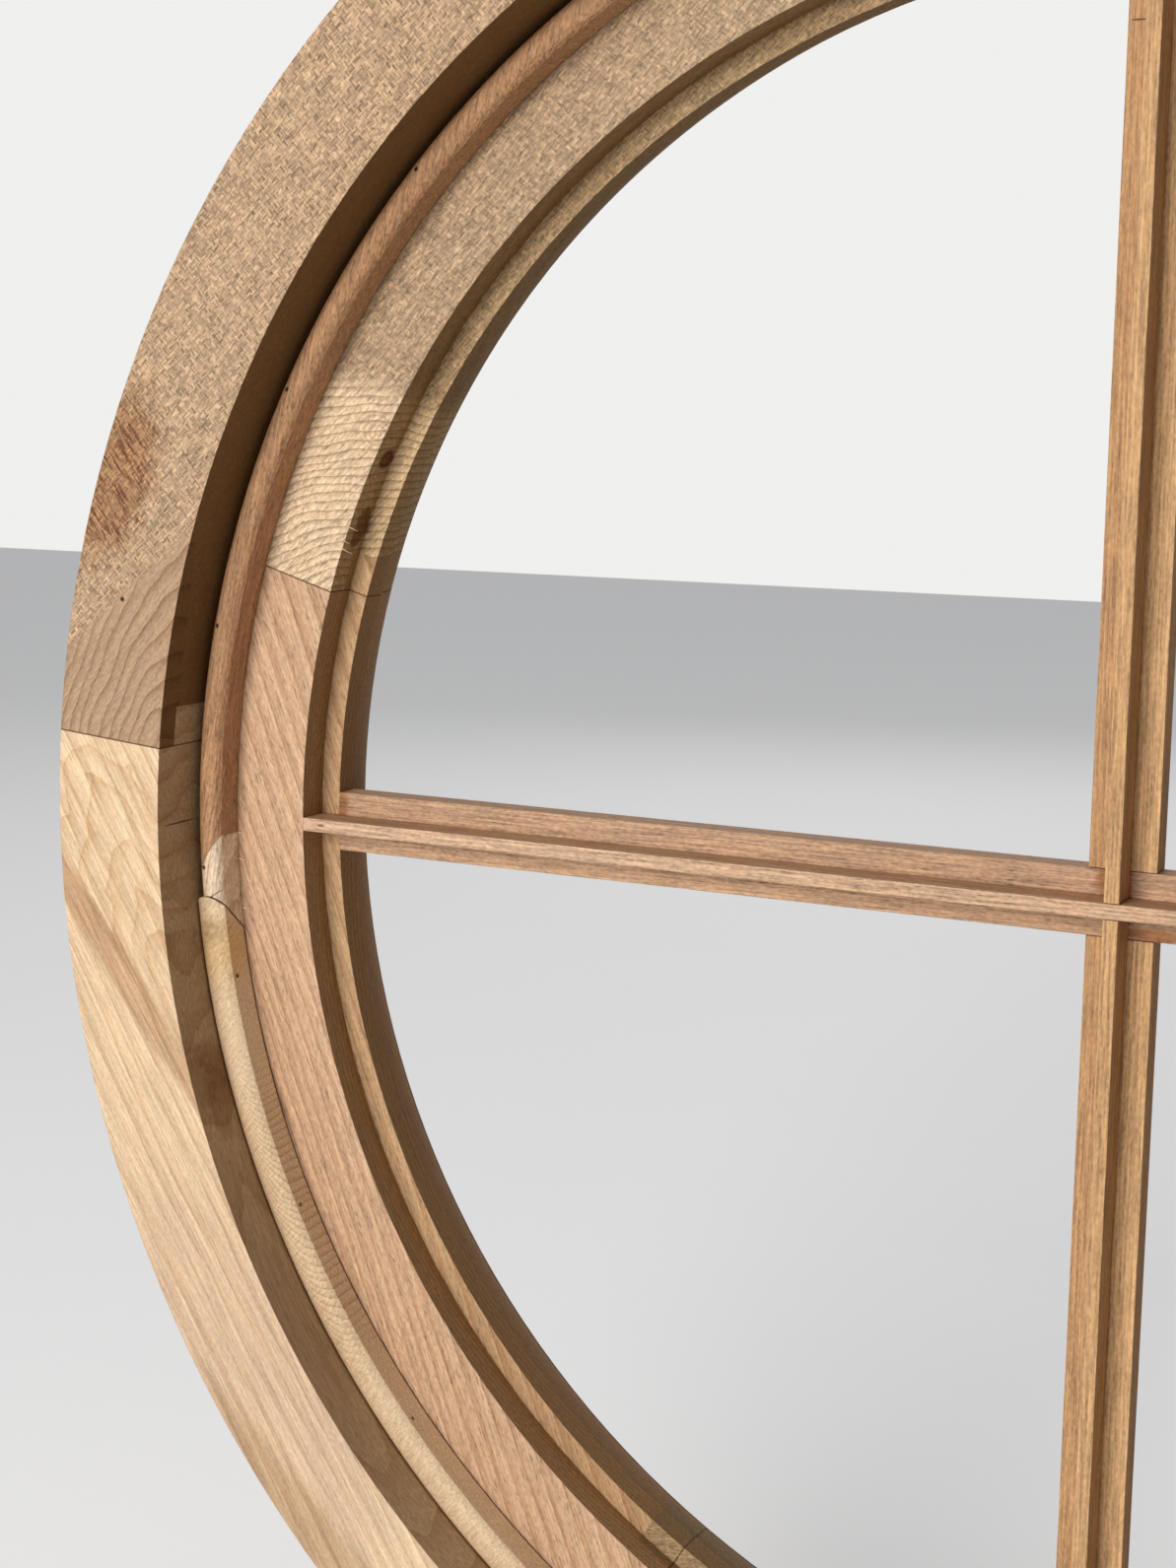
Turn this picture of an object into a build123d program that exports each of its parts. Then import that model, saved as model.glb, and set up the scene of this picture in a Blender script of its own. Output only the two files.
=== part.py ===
"""Round centre-pivot window in unfinished timber: frame ring, sash ring, glazing bars and beads.

Millimetres. The origin is the middle of the ring and of its depth. X runs across, Z runs up
and Y runs away from the viewer, so the front of the window faces -Y. The sash turns on X.
The back is the front turned half a turn about X: in front the upper bead rides on the sash
and the lower bead is fixed in the frame, and at the back it is the other way round.
"""
import os
from math import cos, radians, sin, sqrt, tan

from build123d import *

# Frame ring
frame_outer_radius = 400.0
frame_face_width = 46.5
frame_depth = 112.0
frame_joint_angles = (31.1, 103.1, 175.1, 247.1, 319.1)

# Sash ring, whose face runs from its rim to the rebate
sash_gap = 2.5
sash_thickness = 44.0
sash_face_width = 40.0
rebate_width = 8.0
rebate_depth = 13.0
sash_joint_angles = (29.0, 99.0, 163.35, 239.9, 313.0)

# Moulded inner edge, shared by the sash ring and the glazing bars
square_depth = 10.0
quirk_width = 2.0
ovolo_width = 6.0
back_fillet_depth = 3.0

# Comb joints between the pieces of a ring
comb_cheek = 9.0
comb_finger_length = 15.0
frame_comb_fingers = 3
sash_comb_fingers = 1

# Glazing bars; their tenons are thinner than the square, so the ledge runs whole past them
bar_width = 22.5
bar_nose_width = 5.0
tenon_width = 14.0
tenon_thickness = 6.0
tenon_length = 15.0
glue_line = 0.1
crossing_gap = 0.25

# Beads, of which the sash bead stands on the rim of the sash
bead_width = 9.8
bead_height = 14.0
bead_flank_height = 10.5
bead_face_gap = 0.8
bead_cut_gap = 0.8
bead_end_drop = 43.0
bead_bevel_angle = 45.0

# Scarf of the patch at the left end of the front upper bead
splice_drop = 5.5
splice_angle = 60.0

# Pins that hold the beads
pin_radius = 0.8
pin_length = 22.0
pin_set_depth = 1.5
pin_clearance = 0.05
pin_step_angle = 15.5
sash_pin_first_angle = 183.0
sash_pins_per_side = 6
sash_pin_offset = 2.0
frame_pin_first_angle = 190.2
frame_pins_per_side = 5
frame_pin_height = 8.0

# Pivot plates, sockets and their screws
pivot_radius = 5.0
pivot_fit = 0.05
pivot_engagement = 14.0
pivot_end_gap = 0.5
pivot_tip_chamfer = 1.0
socket_wall = 3.0
socket_floor = 2.0
plate_length = 50.0
plate_width = 22.0
plate_thickness = 3.0
plate_clearance = 0.1
screw_spacing = 34.0
screw_head_radius = 3.5
screw_shank_radius = 1.7
screw_tip_radius = 0.4
screw_length = 18.0
screw_point_length = 3.0
screw_slot_width = 0.9
screw_slot_depth = 0.9
screw_clearance = 0.05
screw_head_angle = 90.0

# Sizes that follow from the ones above; heights count from the middle towards the viewer
frame_inner_radius = frame_outer_radius - frame_face_width
sash_outer_radius = frame_inner_radius - sash_gap
rebate_radius = sash_outer_radius - sash_face_width
sash_opening_radius = rebate_radius - rebate_width
bead_inner_radius = sash_outer_radius - bead_width
sash_face = sash_thickness / 2
ledge_height = sash_face - rebate_depth
square_height = ledge_height - square_depth
ovolo_height = back_fillet_depth - sash_face
frame_bead_seat = sash_face + bead_face_gap
sash_pin_place = (bead_inner_radius + sash_outer_radius) / 2 + sash_pin_offset
socket_face_radius = sqrt(sash_outer_radius**2 - (plate_length / 2) ** 2)
socket_radius = pivot_radius + pivot_fit + socket_wall
socket_bore_depth = pivot_engagement + pivot_end_gap
socket_depth = socket_bore_depth + socket_floor
pivot_reach = frame_inner_radius - socket_face_radius + pivot_engagement
bar_reach = (rebate_radius + sash_outer_radius) / 2

# Reach in plan of the joint outlines, from well inside the opening to well outside the frame
plan_near = sash_opening_radius / 2
plan_far = frame_outer_radius + plan_near

segment_names = ("top", "upper_left", "lower_left", "bottom", "right")
hung_below = (Align.CENTER, Align.CENTER, Align.MAX)
quarter_turn = 90.0

os.makedirs("parts", exist_ok=True)


def save(piece, name):
    """Label a finished piece and write it to a file of the same name."""
    piece.label = name
    export_step(piece, f"parts/{name}.step")


def face_plane(height):
    """Plane parallel to the faces, at a height towards the viewer, with its normal that way."""
    return Plane.XZ.offset(height)


def around(radius, angle, height=0.0):
    """Point on a circle about the middle of the window, at a height towards the viewer."""
    return Vector(radius * cos(radians(angle)), -height, radius * sin(radians(angle)))


def turned_over(piece):
    """A front piece turned half a turn about X, which makes it the back piece opposite."""
    with BuildPart() as turned:
        add(piece, rotation=(180, 0, 0))
    return turned.part


# Comb-jointed rings


def comb_bands(depth, fingers):
    """Bands of a comb joint through a ring: low and high height, and the step of the joint."""
    finger_depth = (depth - 2 * comb_cheek) / (2 * fingers - 1)
    inner_heights = [comb_cheek - depth / 2 + finger_depth * count for count in range(2 * fingers)]
    heights = [-depth / 2] + inner_heights + [depth / 2]
    steps = [comb_finger_length * (count % 2) for count in range(2 * fingers + 1)]
    return list(zip(heights[:-1], heights[1:], steps))


def joint_line(angle, step):
    """Near and far end of a joint in plan, stepped back by a finger's length or by nothing."""
    outward = Vector(cos(radians(angle)), sin(radians(angle)))
    back = Vector(outward.Y, -outward.X) * step
    return outward * plan_near + back, outward * plan_far + back


def ring_segment(ring, bands, start, end):
    """One piece of a ring, with its fingers at the start and the next piece's slots at the end."""
    with BuildPart() as segment:
        for low, high, step in bands:
            start_near, start_far = joint_line(start, step)
            end_near, end_far = joint_line(end, step)
            with BuildSketch(face_plane(low)):
                with BuildLine():
                    Polyline(start_near, start_far, end_far, end_near, close=True)
                make_face()
            extrude(amount=high - low)
        add(ring, mode=Mode.INTERSECT)
    return segment.part


def save_segments(ring, prefix, joint_angles, bands):
    """Divide a ring at its joints and write every piece."""
    ends = joint_angles[1:] + (joint_angles[0] + 360.0,)
    for name, start, end in zip(segment_names, joint_angles, ends):
        save(ring_segment(ring, bands, start, end), f"{prefix}_segment_{name}")


# Pins and their holes


def both_sides(left_angles):
    """Angles on the left of the window and their mirror images on the right."""
    return left_angles + [180.0 - angle for angle in left_angles]


def sash_pin_planes(side):
    """Planes at the heads of the pins in a sash bead; side is 1 in front and -1 at the back."""
    left = [sash_pin_first_angle - pin_step_angle * count for count in range(sash_pins_per_side)]
    head = sash_face + bead_height - pin_set_depth
    return [
        Plane(origin=around(sash_pin_place, side * angle, side * head), z_dir=(0, -side, 0))
        for angle in both_sides(left)
    ]


def frame_pin_planes(side):
    """Planes at the heads of the pins in a frame bead, which are driven straight outwards."""
    left = [frame_pin_first_angle + pin_step_angle * count for count in range(frame_pins_per_side)]
    head = bead_inner_radius + pin_set_depth
    height = side * (frame_bead_seat + frame_pin_height)
    return [
        Plane(origin=around(head, side * angle, height), z_dir=-around(1.0, side * angle))
        for angle in both_sides(left)
    ]


def rods(planes, radius, reach):
    """Rods along a row of pins, from the points of the pins to a reach beyond their heads."""
    with BuildPart() as row:
        for plane in planes:
            with BuildSketch(plane.offset(-pin_length)):
                Circle(radius)
            extrude(amount=pin_length + reach)
    return row.part


def pin_holes(planes):
    """Holes for a row of pins, open above their heads."""
    return rods(planes, pin_radius + pin_clearance, bead_height)


front_upper_pins = sash_pin_planes(1)
back_lower_pins = sash_pin_planes(-1)
front_lower_pins = frame_pin_planes(1)
back_upper_pins = frame_pin_planes(-1)

save(rods(front_upper_pins, pin_radius, 0), "front_upper_bead_pins")
save(rods(back_lower_pins, pin_radius, 0), "back_lower_bead_pins")
save(rods(front_lower_pins, pin_radius, 0), "front_lower_bead_pins")
save(rods(back_upper_pins, pin_radius, 0), "back_upper_bead_pins")


# Pivot plates, sockets and screws


def pivot_seat(across, facing):
    """Plane of a plate's face on the pivot axis, facing along X, with its x direction upright."""
    return Plane(origin=(across, 0, 0), x_dir=(0, 0, 1), z_dir=(facing, 0, 0))


def screw_planes(seat):
    """Planes at the two screw heads of a plate."""
    return [
        Plane(origin=seat.from_local_coords((place, 0, 0)), x_dir=seat.x_dir, z_dir=seat.z_dir)
        for place in (-screw_spacing / 2, screw_spacing / 2)
    ]


def plate_recess(seat):
    """What a plate and its screws take out of the timber."""
    with BuildPart() as recess:
        with BuildSketch(seat.offset(-plate_thickness)):
            SlotOverall(plate_length + 2 * plate_clearance, plate_width + 2 * plate_clearance)
        extrude(amount=plate_thickness + sash_gap)
        for plane in screw_planes(seat):
            with BuildSketch(plane):
                Circle(screw_shank_radius + screw_clearance)
            extrude(amount=-screw_length)
    return recess.part


def socket_recess(seat):
    """What a pivot socket takes out of the sash."""
    with BuildPart() as recess:
        add(plate_recess(seat))
        with BuildSketch(seat):
            Circle(socket_radius + plate_clearance)
        extrude(amount=-socket_depth)
    return recess.part


def plate_blank(seat):
    """Round-ended plate with two countersunk screw holes."""
    with BuildPart() as blank:
        with BuildSketch(seat):
            SlotOverall(plate_length, plate_width)
        extrude(amount=-plate_thickness)
        with Locations(*screw_planes(seat)):
            CounterSinkHole(
                radius=screw_shank_radius + screw_clearance,
                counter_sink_radius=screw_head_radius + screw_clearance,
                counter_sink_angle=screw_head_angle,
            )
    return blank.part


def pivot_plate(seat):
    """Plate let into the frame, with the pin that the sash turns on."""
    with BuildPart() as plate:
        add(plate_blank(seat))
        with BuildSketch(seat):
            Circle(pivot_radius)
        extrude(amount=pivot_reach)
        tip = plate.faces().sort_by(Axis(seat.origin, seat.z_dir))[-1]
        chamfer(tip.edges(), length=pivot_tip_chamfer)
    return plate.part


def pivot_socket(seat):
    """Plate let into the rim of the sash, with the bushed socket that takes the pin."""
    with BuildPart() as socket:
        add(plate_blank(seat))
        with BuildSketch(seat):
            Circle(socket_radius)
        extrude(amount=-socket_depth)
        with BuildSketch(seat):
            Circle(pivot_radius + pivot_fit)
        extrude(amount=-socket_bore_depth, mode=Mode.SUBTRACT)
    return socket.part


def plate_screws(seats):
    """Countersunk slotted screws, two to a plate."""
    head_height = (screw_head_radius - screw_shank_radius) / tan(radians(screw_head_angle / 2))
    shank_length = screw_length - screw_point_length
    with BuildPart() as screws:
        for seat in seats:
            for plane in screw_planes(seat):
                with Locations(plane):
                    Cone(screw_shank_radius, screw_head_radius, head_height, align=hung_below)
                    Cylinder(screw_shank_radius, shank_length, align=hung_below)
                    Box(
                        2 * screw_head_radius,
                        screw_slot_width,
                        screw_slot_depth,
                        align=hung_below,
                        mode=Mode.SUBTRACT,
                    )
                with Locations(plane.offset(-shank_length)):
                    Cone(screw_tip_radius, screw_shank_radius, screw_point_length, align=hung_below)
    return screws.part


frame_seats = (pivot_seat(-frame_inner_radius, 1), pivot_seat(frame_inner_radius, -1))
sash_seats = (pivot_seat(-socket_face_radius, -1), pivot_seat(socket_face_radius, 1))

for hand, frame_seat, sash_seat in zip(("left", "right"), frame_seats, sash_seats):
    save(pivot_plate(frame_seat), f"pivot_plate_{hand}")
    save(pivot_socket(sash_seat), f"pivot_socket_{hand}")
save(plate_screws(frame_seats), "pivot_plate_screws")
save(plate_screws(sash_seats), "pivot_socket_screws")


# Frame ring

with BuildPart() as frame_ring:
    with BuildSketch(Plane.XY):
        with Locations(((frame_inner_radius + frame_outer_radius) / 2, 0)):
            Rectangle(frame_face_width, frame_depth)
    revolve(axis=Axis.Y)
    add(pin_holes(front_lower_pins + back_upper_pins), mode=Mode.SUBTRACT)
    for frame_seat in frame_seats:
        add(plate_recess(frame_seat), mode=Mode.SUBTRACT)

frame_bands = comb_bands(frame_depth, frame_comb_fingers)
save_segments(frame_ring.part, "frame", frame_joint_angles, frame_bands)


# Sash ring and glazing bars


def moulded_edge(edge, inward):
    """Section of a moulded edge behind the rebate, drawn across in x and front to back in y.

    edge is where the square stands furthest out, inward is the sign that leads from there
    into the timber, and the place of the fillet that the section ends on is given back.
    """
    quirk = edge + inward * quirk_width
    fillet = quirk + inward * ovolo_width
    Polyline((edge, -ledge_height), (edge, -square_height), (quirk, -square_height))
    EllipticalCenterArc(
        (fillet, -square_height),
        ovolo_width,
        square_height - ovolo_height,
        start_angle=quarter_turn if inward > 0 else 0.0,
        arc_size=quarter_turn,
    )
    Line((fillet, -ovolo_height), (fillet, sash_face))
    return fillet


def bar_stock(section_plane, allowance=0.0):
    """Moulded bar through the middle of the window, with a nose between its two rebates.

    An allowance widens the bar and its nose on both sides, for the notch that another bar has.
    """
    edge = bar_width / 2 + allowance
    nose_edge = bar_nose_width / 2 + allowance
    with BuildPart() as stock:
        with BuildSketch(section_plane):
            with BuildLine():
                right = moulded_edge(edge, -1)
                left = moulded_edge(-edge, 1)
                Line((right, sash_face), (left, sash_face))
                Polyline(
                    (edge, -ledge_height),
                    (nose_edge, -ledge_height),
                    (nose_edge, -sash_face),
                    (-nose_edge, -sash_face),
                    (-nose_edge, -ledge_height),
                    (-edge, -ledge_height),
                )
            make_face()
        extrude(amount=bar_reach, both=True)
    return stock.part


def tenons(section_plane, allowance):
    """The tenons at both ends of a bar as one strip, or with an allowance their mortises."""
    with BuildPart() as strip:
        with BuildSketch(section_plane):
            with Locations((0, -(ledge_height + square_height) / 2)):
                Rectangle(tenon_width + 2 * allowance, tenon_thickness + 2 * allowance)
        extrude(amount=sash_opening_radius + tenon_length + allowance, both=True)
    return strip.part


def scribed_bar(section_plane, ring):
    """Bar with its ends scribed to the moulding of the sash and stub tenons beyond them."""
    with BuildPart() as bar:
        add(bar_stock(section_plane))
        add(ring, mode=Mode.SUBTRACT)
        add(tenons(section_plane, 0))
    return bar.part


def half_of(piece, keep):
    """What lies in front of or behind the back of the bars' squares."""
    with BuildPart() as half:
        add(piece)
        split(bisect_by=face_plane(square_height), keep=keep)
    return half.part


vertical_section = Plane.XY
horizontal_section = Plane(origin=(0, 0, 0), x_dir=(0, 0, 1), z_dir=(-1, 0, 0))

with BuildPart() as plain_sash_ring:
    with BuildSketch(Plane.XY):
        with BuildLine():
            back_edge = moulded_edge(sash_opening_radius, 1)
            Polyline(
                (back_edge, sash_face),
                (sash_outer_radius, sash_face),
                (sash_outer_radius, -sash_face),
                (rebate_radius, -sash_face),
                (rebate_radius, -ledge_height),
                (sash_opening_radius, -ledge_height),
            )
        make_face()
    revolve(axis=Axis.Y)

# The horizontal bar runs through in front of the crossing and the vertical bar behind it; in
# front a hairline is left open on both sides of the horizontal bar
with BuildPart() as vertical_bar:
    add(scribed_bar(vertical_section, plain_sash_ring.part))
    add(half_of(bar_stock(horizontal_section, crossing_gap), Keep.TOP), mode=Mode.SUBTRACT)
save(vertical_bar.part, "glazing_bar_vertical")

with BuildPart() as horizontal_bar:
    add(scribed_bar(horizontal_section, plain_sash_ring.part))
    add(half_of(bar_stock(vertical_section), Keep.BOTTOM), mode=Mode.SUBTRACT)
save(horizontal_bar.part, "glazing_bar_horizontal")

with BuildPart() as sash_ring:
    add(plain_sash_ring.part)
    for section in (vertical_section, horizontal_section):
        add(tenons(section, glue_line), mode=Mode.SUBTRACT)
    add(pin_holes(front_upper_pins + back_lower_pins), mode=Mode.SUBTRACT)
    for sash_seat in sash_seats:
        add(socket_recess(sash_seat), mode=Mode.SUBTRACT)

sash_bands = comb_bands(sash_thickness, sash_comb_fingers)
save_segments(sash_ring.part, "sash", sash_joint_angles, sash_bands)


# Beads


def bead_ring(outer_radius, seat, holes):
    """Full round of bead with a rounded crest, standing on a seat at a height, with its holes."""
    shoulder = -(seat + bead_flank_height)
    with BuildPart() as ring:
        with BuildSketch(Plane.XY):
            with BuildLine():
                Polyline(
                    (bead_inner_radius, shoulder),
                    (bead_inner_radius, -seat),
                    (outer_radius, -seat),
                    (outer_radius, shoulder),
                )
                ThreePointArc(
                    (outer_radius, shoulder),
                    ((bead_inner_radius + outer_radius) / 2, -(seat + bead_height)),
                    (bead_inner_radius, shoulder),
                )
            make_face()
        revolve(axis=Axis.Y)
        add(holes, mode=Mode.SUBTRACT)
    return ring.part


def half_bead(ring, cut, end, hand):
    """One side of a bead, from the top or bottom of the window to the bevelled cut."""
    with BuildPart() as bead:
        add(ring)
        split(bisect_by=cut, keep=end)
        split(bisect_by=Plane.YZ, keep=hand)
    return bead.part


def patch_region():
    """What the patch takes of the front upper bead, below a scarf that slants down outwards."""
    inner_end = Vector(-bead_inner_radius, -splice_drop)
    outward = Vector(-cos(radians(splice_angle)), -sin(radians(splice_angle)))
    near = inner_end - outward * bead_end_drop
    far = inner_end + outward * bead_end_drop
    down = Vector(0, -2 * bead_end_drop)
    with BuildPart() as region:
        with BuildSketch(face_plane(sash_face)):
            with BuildLine():
                Polyline(near, far, far + down, near + down, close=True)
            make_face()
        extrude(amount=bead_height)
    return region.part


sash_bead_cut = Plane(
    origin=(0, -sash_face, -bead_end_drop),
    x_dir=(1, 0, 0),
    z_dir=(0, cos(radians(bead_bevel_angle)), sin(radians(bead_bevel_angle))),
)
frame_bead_cut = sash_bead_cut.offset(-bead_cut_gap)

sash_bead = bead_ring(sash_outer_radius, sash_face, pin_holes(front_upper_pins))
frame_bead = bead_ring(frame_inner_radius, frame_bead_seat, pin_holes(front_lower_pins))

sash_bead_left = half_bead(sash_bead, sash_bead_cut, Keep.TOP, Keep.BOTTOM)
sash_bead_right = half_bead(sash_bead, sash_bead_cut, Keep.TOP, Keep.TOP)
frame_bead_left = half_bead(frame_bead, frame_bead_cut, Keep.BOTTOM, Keep.BOTTOM)
frame_bead_right = half_bead(frame_bead, frame_bead_cut, Keep.BOTTOM, Keep.TOP)

with BuildPart() as patched_bead:
    add(sash_bead_left)
    add(patch_region(), mode=Mode.SUBTRACT)

with BuildPart() as bead_patch:
    add(sash_bead_left)
    add(patch_region(), mode=Mode.INTERSECT)

save(patched_bead.part, "front_upper_bead_left")
save(bead_patch.part, "front_upper_bead_patch")
save(sash_bead_right, "front_upper_bead_right")
save(frame_bead_left, "front_lower_bead_left")
save(frame_bead_right, "front_lower_bead_right")
save(turned_over(sash_bead_left), "back_lower_bead_left")
save(turned_over(sash_bead_right), "back_lower_bead_right")
save(turned_over(frame_bead_left), "back_upper_bead_left")
save(turned_over(frame_bead_right), "back_upper_bead_right")
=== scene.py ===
"""Round centre-pivot window in raw timber: finishes, loose slivers, light and camera."""
from math import cos, radians, sin

import bpy
from bpy.props import FloatProperty, FloatVectorProperty, PointerProperty
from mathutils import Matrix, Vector


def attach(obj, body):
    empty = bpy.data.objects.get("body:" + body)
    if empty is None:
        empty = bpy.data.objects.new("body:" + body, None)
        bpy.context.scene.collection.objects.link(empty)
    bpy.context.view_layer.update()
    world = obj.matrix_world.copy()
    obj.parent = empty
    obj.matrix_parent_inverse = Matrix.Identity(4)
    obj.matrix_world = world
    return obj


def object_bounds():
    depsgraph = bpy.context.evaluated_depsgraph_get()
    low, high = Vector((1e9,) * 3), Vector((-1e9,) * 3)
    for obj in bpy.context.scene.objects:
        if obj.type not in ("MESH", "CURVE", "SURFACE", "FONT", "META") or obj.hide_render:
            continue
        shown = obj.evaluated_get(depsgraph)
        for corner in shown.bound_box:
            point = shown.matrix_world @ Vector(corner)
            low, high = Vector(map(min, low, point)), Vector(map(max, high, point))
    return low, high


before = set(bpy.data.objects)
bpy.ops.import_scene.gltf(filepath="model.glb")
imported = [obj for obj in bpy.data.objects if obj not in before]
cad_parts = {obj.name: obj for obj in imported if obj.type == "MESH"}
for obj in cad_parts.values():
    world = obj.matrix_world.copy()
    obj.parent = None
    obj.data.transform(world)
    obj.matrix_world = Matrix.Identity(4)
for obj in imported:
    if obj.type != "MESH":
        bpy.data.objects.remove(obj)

bl_info = {
    "name": "Round Pivot Window",
    "version": (1, 0, 0),
    "blender": (4, 5, 0),
    "location": "View3D > Sidebar > Window",
    "description": "Finishes a round timber pivot window",
    "category": "Object",
}

# Sizes in metres
cad_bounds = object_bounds()
floor_height = cad_bounds[0][2]
outer_radius = cad_bounds[1][0]
millimetre = 0.001
floor_size = 30 * outer_radius
lamp_size = 1.5

# Pieces of each ring, and the angle of the joint where each of them starts
segment_names = ("top", "upper_left", "lower_left", "bottom", "right")
frame_joint_angles = (31.1, 103.1, 175.1, 247.1, 319.1)
sash_joint_angles = (29.0, 99.0, 163.35, 239.9, 313.0)

# Places and sizes in millimetres, and one angle in degrees
frame_face = 56.0
frame_inner_radius = 353.5
bar_flange_depth = -9.0
rebate_radius = 311.0
inner_flank_radius = 345.0
wall_shade_reach = 377.0
anywhere = 3000.0
sash_fleck_turn = 12.0
fleck_length = 2.1
weave_wobble = 5.0
joint_half_width = 0.5
crease_shade_reach = 1.4
edge_radius = 0.6
relief_depth = 0.5

# Slivers, in millimetres: each step up is narrower by the taper and further over by the curl
sliver_foot_radius = 0.45
sliver_foot_height = 21.6
sliver_length = 5.0
sliver_steps = 4
sliver_curl = 0.12
sliver_taper = (0.80, 0.65, 1.0)
sliver_lightening = 1.5

# Radius of each row of slivers, then the angle, lean and share of the length of each one
sliver_rows = {
    "chip": (312.0, ((160.2, 0.3, 1.2), (159.6, 0.7, 0.9), (158.6, 0.2, 1.0))),
    "patch": (341.5, ((181.0, 0.5, 0.8), (182.7, 0.9, 1.3), (186.0, 0.4, 0.8))),
}

# Tones that darken the colour under them
joint_tone = (0.30, 0.24, 0.18)
# Painted shade in corners and narrow gaps
crease_shade_tone = (0.5, 0.4, 0.3)
stain_tone = (0.64, 0.46, 0.32)

# Shares and strengths without a unit
ring_sharpness = 2.4
arc_sharpness = 3.5
early_edge_share = 0.14
tone_floor = 0.12
frame_fleck_strength = 1.9
top_lamp_share = 1 / 6
back_lamp_share = 1 / 8
floor_lift = 0.26


def colour_setting(name, description, default):
    """Colour that the panel shows."""
    return FloatVectorProperty(
        name=name, description=description, default=default, subtype="COLOR", min=0.0, max=1.0
    )


class WindowSettings(bpy.types.PropertyGroup):
    """Colours, light and camera that a user would change."""

    frame_tan: colour_setting("Frame tan", "Upper pieces of the frame", (0.46, 0.305, 0.182))
    frame_cream: colour_setting("Frame cream", "Lower pieces of the frame", (0.79, 0.58, 0.375))
    sash_pale: colour_setting("Sash pale", "Upper pieces of the sash", (0.445, 0.305, 0.182))
    sash_pink: colour_setting("Sash pink", "Lower pieces of the sash", (0.65, 0.42, 0.26))
    bar_pink: colour_setting("Bar pink", "Horizontal glazing bar", (0.55, 0.345, 0.21))
    bar_golden: colour_setting("Bar golden", "Vertical glazing bar", (0.59, 0.355, 0.17))
    bead_red: colour_setting("Bead red", "Upper beads", (0.48, 0.265, 0.135))
    bead_grey: colour_setting("Bead patch", "Piece let into the upper bead", (0.84, 0.65, 0.46))
    bead_cream: colour_setting("Bead cream", "Lower beads", (0.71, 0.51, 0.32))
    brass: colour_setting("Brass", "Pivot plates and sockets", (0.60, 0.42, 0.16))
    steel: colour_setting("Steel", "Screws", (0.42, 0.42, 0.43))
    pin_dark: colour_setting("Dark pins", "Pins in the beads", (0.09, 0.06, 0.045))
    key_power: FloatProperty(
        name="Key light", description="Power of the lamp in front", default=74.0, unit="POWER"
    )
    surround: FloatProperty(name="Surround", description="Strength of the even light", default=0.17)
    lens: FloatProperty(
        name="Lens", description="Focal length on a 36 mm film", default=54.07, unit="CAMERA"
    )
    camera_place: FloatVectorProperty(
        name="Camera place",
        description="Where the photograph was taken from",
        default=(0.1858, -0.7602, 0.1608),
        subtype="TRANSLATION",
    )
    camera_turn: FloatVectorProperty(
        name="Camera turn",
        description="Which way the camera faced",
        default=(radians(80.74), radians(-0.67), radians(27.05)),
        subtype="EULER",
    )


# Small tools for building node trees


def add_node(tree, kind, label, settings=None, inputs=None):
    """New node with its settings, whose inputs are linked where a socket is given."""
    node = tree.nodes.new(kind)
    node.label = label
    for key, value in (settings or {}).items():
        setattr(node, key, value)
    for key, value in (inputs or {}).items():
        if isinstance(value, bpy.types.NodeSocket):
            tree.links.new(value, node.inputs[key])
        else:
            node.inputs[key].default_value = value
    return node


def maths(tree, label, operation, *values, clamp=False):
    """Output of a Math node on sockets or numbers."""
    settings = {"operation": operation, "use_clamp": clamp}
    return add_node(tree, "ShaderNodeMath", label, settings, dict(enumerate(values))).outputs[0]


def vector_maths(tree, label, operation, inputs):
    """Output of a Vector Math node."""
    settings = {"operation": operation}
    return add_node(tree, "ShaderNodeVectorMath", label, settings, inputs).outputs[0]


def mix_colours(tree, label, factor, first, second, blend="MIX"):
    """Output of a Mix node on two colours."""
    settings = {"data_type": "RGBA", "blend_type": blend}
    inputs = {"Factor": factor, 6: first, 7: second}
    return add_node(tree, "ShaderNodeMix", label, settings, inputs).outputs[2]


def turned(tree, label, vector_socket, angle):
    """Vector turned about the axis through the window, so that the angle comes to lie along X."""
    settings = {"rotation_type": "Y_AXIS"}
    inputs = {"Vector": vector_socket, "Angle": angle}
    return add_node(tree, "ShaderNodeVectorRotate", label, settings, inputs).outputs[0]


def split_axes(tree, label, vector_socket):
    """The three outputs of a Separate XYZ node."""
    return add_node(tree, "ShaderNodeSeparateXYZ", label, {}, {0: vector_socket}).outputs


def step_up(tree, label, value, low, high):
    """0 below low, 1 above high and smooth between."""
    inputs = {"Value": value, "From Min": low, "From Max": high}
    settings = {"interpolation_type": "SMOOTHSTEP"}
    return add_node(tree, "ShaderNodeMapRange", label, settings, inputs).outputs[0]


def stretched_noise(tree, label, vector_socket, scales, detail=2.0):
    """Noise about nought on a vector in millimetres, with its own scale along each axis."""
    spread = vector_maths(tree, label, "MULTIPLY", {0: vector_socket, 1: scales})
    inputs = {"Vector": spread, "Scale": 1.0, "Detail": detail}
    noise = add_node(tree, "ShaderNodeTexNoise", label, {}, inputs).outputs[0]
    return maths(tree, label, "SUBTRACT", noise, 0.5)


def new_group(name, sockets_in, sockets_out):
    """Empty shader group with named sockets, and its two end nodes."""
    group = bpy.data.node_groups.new(name, "ShaderNodeTree")
    for socket_name, kind, default in sockets_in:
        socket = group.interface.new_socket(socket_name, in_out="INPUT", socket_type=kind)
        if default is not None:
            socket.default_value = default
    for socket_name, kind in sockets_out:
        group.interface.new_socket(socket_name, in_out="OUTPUT", socket_type=kind)
    start = group.nodes.new("NodeGroupInput")
    end = group.nodes.new("NodeGroupOutput")
    return group, start.outputs, end.inputs


# Shared effects

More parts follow.
